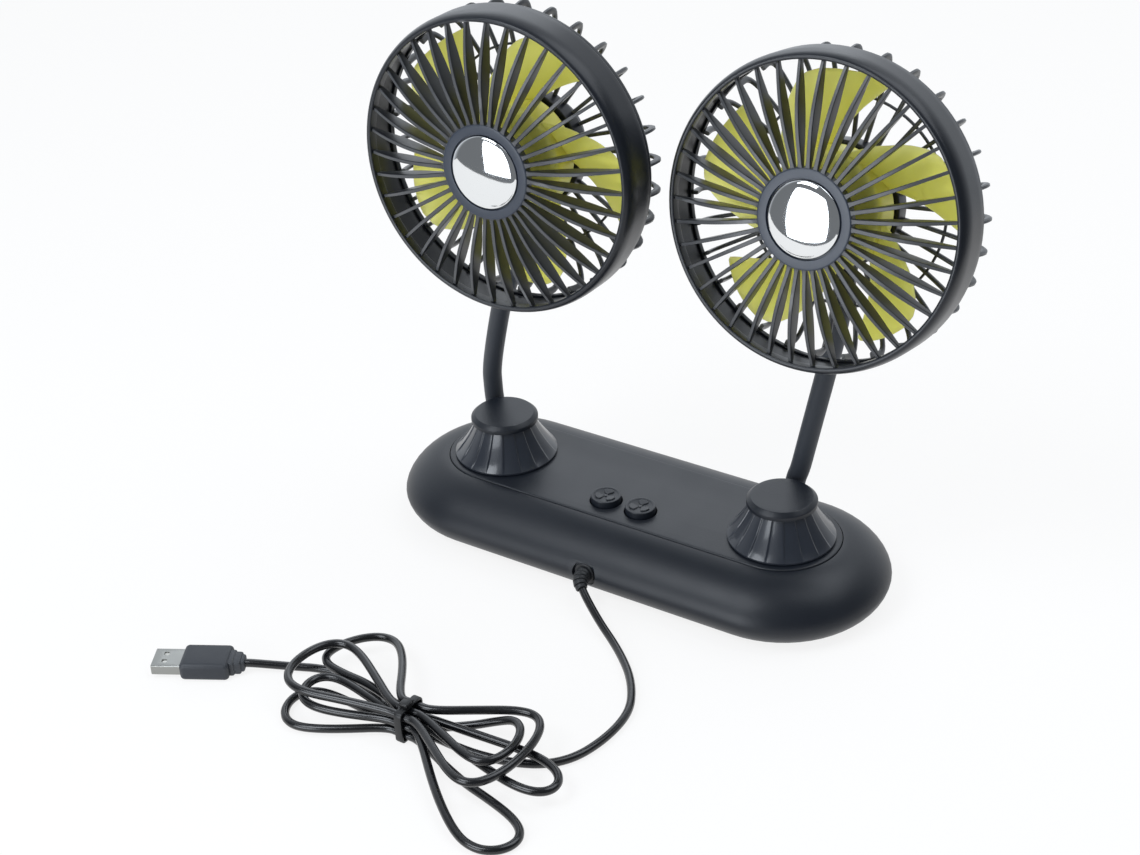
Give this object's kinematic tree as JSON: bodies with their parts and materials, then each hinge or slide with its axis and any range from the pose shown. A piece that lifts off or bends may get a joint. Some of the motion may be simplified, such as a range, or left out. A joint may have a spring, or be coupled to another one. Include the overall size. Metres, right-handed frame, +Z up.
{
  "type": "car fan",
  "caption": "Car fan: a capsule base with push buttons carries caged fan heads on swivelling, bendable necks, with a tied power cord and plug.",
  "frame": {"origin": "on the underside of the non-slip pad, midway between the two turrets", "axes": "+X along the base towards the right fan, -Y the way the fans face, +Z up"},
  "size_m": [0.2778, 0.2556, 0.2489],
  "materials": {
    "shell_plastic": "matt, faintly blue black",
    "grille_plastic": "satin, faintly blue black",
    "skirt_plastic": "gloss black",
    "sleeve_rubber": "matt soft sleeve",
    "rotor_plastic": "satin yellow-green",
    "cap_chrome": "mirror",
    "steel": "plain",
    "pad_rubber": "matt",
    "board": "solder mask",
    "cord_sheath": "gloss sheath",
    "plug_overmould": "matt",
    "plug_insulator": "plain white"
  },
  "bodies": {
    "base": {"nonslip_pad": "pad_rubber", "base_plate": "shell_plastic", "base_shell": "shell_plastic", "deck_plate": "shell_plastic", "control_board": "board", "base_screw_1": "steel", "base_screw_2": "steel", "base_screw_3": "steel", "base_screw_4": "steel", "cord_grommet": "pad_rubber", "cord_lead": "cord_sheath", "cord_hank": "cord_sheath", "cord_tail": "cord_sheath", "cord_tie": "cord_sheath", "plug_body": "plug_overmould", "plug_shell": "cap_chrome", "plug_tongue": "plug_insulator"},
    "left_button": {"button_left": "shell_plastic"},
    "right_button": {"button_right": "shell_plastic"},
    "left_turret": {"turret_left_skirt": "skirt_plastic", "turret_left_cap": "shell_plastic", "turret_left_retainer": "steel", "neck_left_root": "sleeve_rubber"},
    "left_neck": {"neck_left_lower": "sleeve_rubber"},
    "left_head": {"neck_left_upper": "sleeve_rubber", "head_left_front_grille": "grille_plastic", "head_left_hub_cap": "cap_chrome", "head_left_rear_cage": "grille_plastic", "head_left_motor_cover": "grille_plastic", "head_left_motor_can": "steel"},
    "left_rotor": {"head_left_rotor": "rotor_plastic", "head_left_motor_shaft": "steel"},
    "right_turret": {"turret_right_skirt": "skirt_plastic", "turret_right_cap": "shell_plastic", "turret_right_retainer": "steel", "neck_right_root": "sleeve_rubber"},
    "right_neck": {"neck_right_lower": "sleeve_rubber"},
    "right_head": {"neck_right_upper": "sleeve_rubber", "head_right_front_grille": "grille_plastic", "head_right_hub_cap": "cap_chrome", "head_right_rear_cage": "grille_plastic", "head_right_motor_cover": "grille_plastic", "head_right_motor_can": "steel"},
    "right_rotor": {"head_right_rotor": "rotor_plastic", "head_right_motor_shaft": "steel"}
  },
  "joints": [
    {"name": "left_button_press", "type": "slide", "parent": "base", "child": "left_button", "axis": [0, 0, -1], "range_m": [0, 0.001], "stiffness_N_per_m": 500, "springref_m": -0.0006},
    {"name": "right_button_press", "type": "slide", "parent": "base", "child": "right_button", "axis": [0, 0, -1], "range_m": [0, 0.001], "stiffness_N_per_m": 500, "springref_m": -0.0006},
    {"name": "left_turret_swivel", "type": "hinge", "parent": "base", "child": "left_turret", "pos_m": [-0.07, 0, 0.028], "axis": [0, 0, 1], "range_deg": [-70, 0]},
    {"name": "left_neck_lower_bend", "type": "hinge", "parent": "left_turret", "child": "left_neck", "pos_m": [-0.0835, 0.011, 0.064], "axis": [1, 0, 0], "range_deg": [-15, 25]},
    {"name": "left_neck_upper_bend", "type": "hinge", "parent": "left_neck", "child": "left_head", "pos_m": [-0.066, 0.003, 0.118], "axis": [1, 0, 0], "range_deg": [-25, 40]},
    {"name": "left_rotor_spin", "type": "hinge", "parent": "left_head", "child": "left_rotor", "pos_m": [-0.0422, -0.0363, 0.1868], "axis": [0.0331, -0.9976, 0.061], "continuous": true},
    {"name": "right_turret_swivel", "type": "hinge", "parent": "base", "child": "right_turret", "pos_m": [0.07, 0, 0.028], "axis": [0, 0, 1], "range_deg": [0, 70]},
    {"name": "right_neck_lower_bend", "type": "hinge", "parent": "right_turret", "child": "right_neck", "pos_m": [0.0703, 0.02, 0.062], "axis": [1, 0, 0], "range_deg": [-15, 25]},
    {"name": "right_neck_upper_bend", "type": "hinge", "parent": "right_neck", "child": "right_head", "pos_m": [0.0823, 0.021, 0.116], "axis": [1, 0, 0], "range_deg": [-25, 40]},
    {"name": "right_rotor_spin", "type": "hinge", "parent": "right_head", "child": "right_rotor", "pos_m": [0.0859, -0.0116, 0.1843], "axis": [0.0068, -0.9809, 0.1942], "continuous": true}
  ]
}
